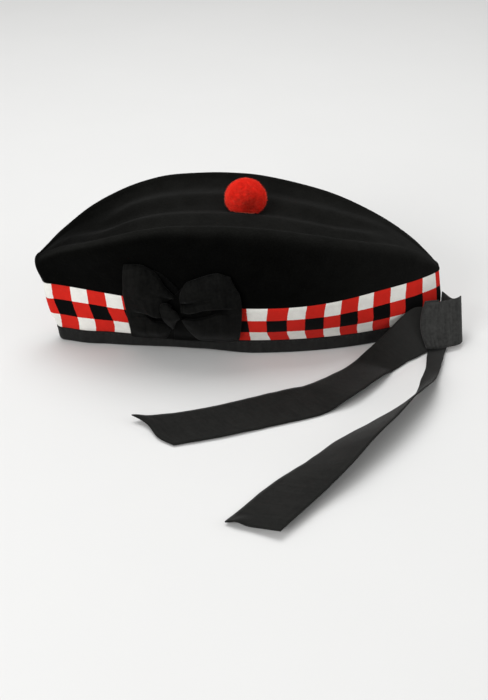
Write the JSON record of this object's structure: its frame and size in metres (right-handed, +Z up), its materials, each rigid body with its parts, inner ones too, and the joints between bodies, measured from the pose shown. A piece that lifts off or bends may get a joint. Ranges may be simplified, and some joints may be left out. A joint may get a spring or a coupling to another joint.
{
  "type": "glengarry cap",
  "caption": "Boat-shaped black felt cap with a folded crown, red, white and black diced band, ribbon-bound rim, red pompom, side bow and loose back ribbons; worn on the head.",
  "frame": {"origin": "middle of the head opening, in the plane that the rim stands on", "axes": "+X to the back of the cap, -Y to the wearer's left (the bow's side), +Z up to the crown"},
  "size_m": [0.2983, 0.2816, 0.1185],
  "materials": {
    "felt": "milled black wool felt",
    "dicing": "red, white and black diced wool weave",
    "binding_ribbon": "black ribbed ribbon",
    "pompom_wool": "cut red wool pile",
    "bow_ribbon": "black ribbed ribbon",
    "tail_ribbon": "black ribbed ribbon"
  },
  "bodies": {
    "root": {"cap_body": "felt", "diced_band": "dicing", "rim_binding": "binding_ribbon", "toorie": "pompom_wool", "cockade_front_loop": "bow_ribbon", "cockade_back_loop": "bow_ribbon", "cockade_knot": "bow_ribbon", "back_loop": "tail_ribbon", "tail_upper": "tail_ribbon", "tail_lower": "tail_ribbon"}
  },
  "joints": []
}
